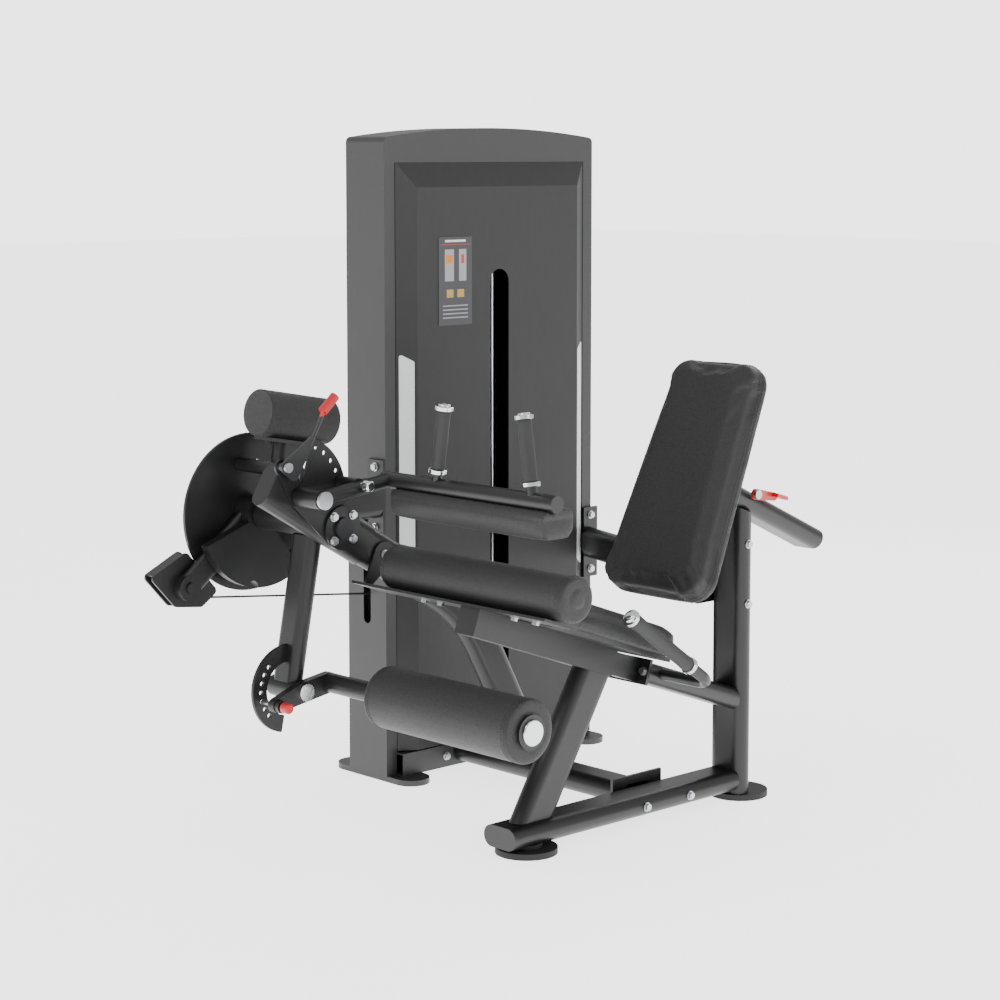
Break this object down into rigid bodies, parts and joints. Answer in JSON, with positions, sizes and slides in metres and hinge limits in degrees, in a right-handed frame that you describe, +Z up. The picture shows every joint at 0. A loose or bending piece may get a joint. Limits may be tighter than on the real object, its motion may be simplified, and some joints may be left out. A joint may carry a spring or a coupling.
{
  "type": "leg extension machine",
  "caption": "Selector-stack leg extension machine with a weight tower, padded seat, sliding backrest, lap pad and a swinging ankle roller lever.",
  "frame": {"origin": "on the floor, at the middle of the four anchor holes in the tower's feet", "axes": "+Z up, +X from the swing lever to the backrest, +Y from the seat to the tower"},
  "size_m": [1.4581, 1.1499, 1.6],
  "materials": {
    "black_frame": "satin",
    "grey_tower": "satin",
    "dark_shroud": "satin",
    "frosted_panel": "matte",
    "placard_panel": "matte",
    "cast_plate": "matte",
    "chrome_parts": "polished",
    "zinc_bolts": "satin",
    "red_plastic": "gloss",
    "rubber_parts": "matte",
    "grip_rubber": "matte",
    "cap_plastic": "matte",
    "black_vinyl": "satin",
    "ply_board": "matte",
    "cable_black": "satin"
  },
  "bodies": {
    "frame": {"arm_plate": "black_frame", "back_rail": "black_frame", "base_rails": "black_frame", "bolster_bracket": "black_frame", "curved_tube": "black_frame", "frame_bolts": "zinc_bolts", "front_leg": "black_frame", "front_shroud": "dark_shroud", "guide_rods": "chrome_parts", "inner_cable": "cable_black", "knee_bolster": "black_vinyl", "mounting_plates": "black_frame", "pivot_arm": "black_frame", "pivot_bearings": "black_frame", "placard": "placard_panel", "rail_feet": "rubber_parts", "rear_post": "black_frame", "rear_shroud": "dark_shroud", "resting_plates": "cast_plate", "seat_beam": "black_frame", "seat_board": "ply_board", "seat_grips": "grip_rubber", "seat_handles": "black_frame", "seat_pad": "black_vinyl", "seat_rings": "chrome_parts", "side_windows": "frosted_panel", "stack_bumpers": "rubber_parts", "tower_beams": "black_frame", "tower_cap": "grey_tower", "tower_feet": "grey_tower", "tower_frame": "grey_tower", "tube_caps": "cap_plastic", "wheel_brackets": "black_frame"},
    "stack": {"lifted_plates": "cast_plate", "selector_rod": "chrome_parts", "stack_cable": "cable_black"},
    "selector_pin": {"selector_pin": "red_plastic"},
    "top_wheel": {"top_wheel": "cap_plastic"},
    "low_wheel": {"low_wheel": "cap_plastic"},
    "cam": {"cam_disc": "black_frame", "cable_guard": "black_frame", "pivot_shaft": "chrome_parts"},
    "cable_link": {"thimble": "zinc_bolts", "pull_cable": "cable_black"},
    "lever": {"swing_lever": "black_frame", "counterweight": "black_frame", "ankle_sector": "zinc_bolts"},
    "start_pin": {"start_pin": "chrome_parts"},
    "ankle": {"ankle_bracket": "black_frame", "ankle_shaft": "chrome_parts"},
    "ankle_pin": {"ankle_pin": "red_plastic"},
    "roller": {"ankle_roller": "black_vinyl"},
    "lap": {"lap_arm": "black_frame", "lap_pad": "black_vinyl", "lap_grips": "grip_rubber"},
    "lap_pin": {"lap_pin": "chrome_parts"},
    "start_lever": {"start_lever": "red_plastic"},
    "backrest": {"back_carriage": "black_frame", "back_pad": "black_vinyl"},
    "back_release": {"back_release": "red_plastic"}
  },
  "joints": [
    {"name": "knee_swing", "type": "hinge", "parent": "frame", "child": "cam", "pos_m": [-0.728, -0.014, 0.706], "axis": [0, 1, 0], "range_deg": [0, 90]},
    {"name": "cable_swing", "type": "hinge", "parent": "cam", "child": "cable_link", "pos_m": [-0.91786, 0, 0.55115], "axis": [0, 1, 0], "range_deg": [-66, 2]},
    {"name": "start_angle", "type": "hinge", "parent": "cam", "child": "lever", "pos_m": [-0.728, -0.18, 0.706], "axis": [0, 1, 0], "range_deg": [0, 50]},
    {"name": "start_pin_pull", "type": "slide", "parent": "lever", "child": "start_pin", "axis": [0, -1, 0], "range_m": [0, 0.012], "stiffness_N_per_m": 600, "springref_m": -0.004},
    {"name": "ankle_tilt", "type": "hinge", "parent": "lever", "child": "ankle", "pos_m": [-0.79688, -0.24, 0.33433], "axis": [0, 1, 0], "range_deg": [-30, 60]},
    {"name": "ankle_pin_pull", "type": "slide", "parent": "ankle", "child": "ankle_pin", "axis": [0, -1, 0], "range_m": [0, 0.012], "stiffness_N_per_m": 600, "springref_m": -0.004},
    {"name": "roller_spin", "type": "hinge", "parent": "ankle", "child": "roller", "pos_m": [-0.72372, -0.727, 0.3454], "axis": [0, 1, 0], "continuous": true},
    {"name": "lap_swing", "type": "hinge", "parent": "frame", "child": "lap", "pos_m": [-0.848, -0.4, 0.788], "axis": [0, 1, 0], "range_deg": [-40.5, 0]},
    {"name": "lap_pin_pull", "type": "slide", "parent": "lap", "child": "lap_pin", "axis": [0, -1, 0], "range_m": [0, 0.012], "stiffness_N_per_m": 600, "springref_m": -0.004},
    {"name": "start_lever_pull", "type": "hinge", "parent": "frame", "child": "start_lever", "pos_m": [-0.897, -0.371, 0.858], "axis": [0, 1, 0], "range_deg": [0, 20], "stiffness_Nm_per_rad": 1.5, "springref_deg": -11.46},
    {"name": "backrest_slide", "type": "slide", "parent": "frame", "child": "backrest", "axis": [0.9085, 0, -0.4179], "range_m": [-0.075, 0.075]},
    {"name": "back_release_pull", "type": "hinge", "parent": "frame", "child": "back_release", "pos_m": [0.1827, -0.76, 0.73659], "axis": [0, 1, 0], "range_deg": [-18, 0], "stiffness_Nm_per_rad": 1, "springref_deg": 5.73},
    {"name": "stack_lift", "type": "slide", "parent": "frame", "child": "stack", "axis": [0, 0, 1], "range_m": [0, 0.2361], "deforming": ["stack_cable"]},
    {"name": "selector_pin_pull", "type": "slide", "parent": "stack", "child": "selector_pin", "axis": [0, -1, 0], "range_m": [0, 0.06]},
    {"name": "top_wheel_spin", "type": "hinge", "parent": "frame", "child": "top_wheel", "pos_m": [-0.079, 0, 1.369], "axis": [0, 1, 0], "range_deg": [-200, 5]},
    {"name": "low_wheel_spin", "type": "hinge", "parent": "frame", "child": "low_wheel", "pos_m": [-0.2, 0, 0.4875], "axis": [0, 1, 0], "range_deg": [-5, 350]}
  ],
  "couplings": [
    {"joint": "cable_swing", "follows": "knee_swing", "ratio": -0.714},
    {"joint": "stack_lift", "follows": "knee_swing", "m_per_rad": 0.15},
    {"joint": "top_wheel_spin", "follows": "knee_swing", "ratio": -1.8987},
    {"joint": "low_wheel_spin", "follows": "knee_swing", "ratio": 3.5714}
  ]
}
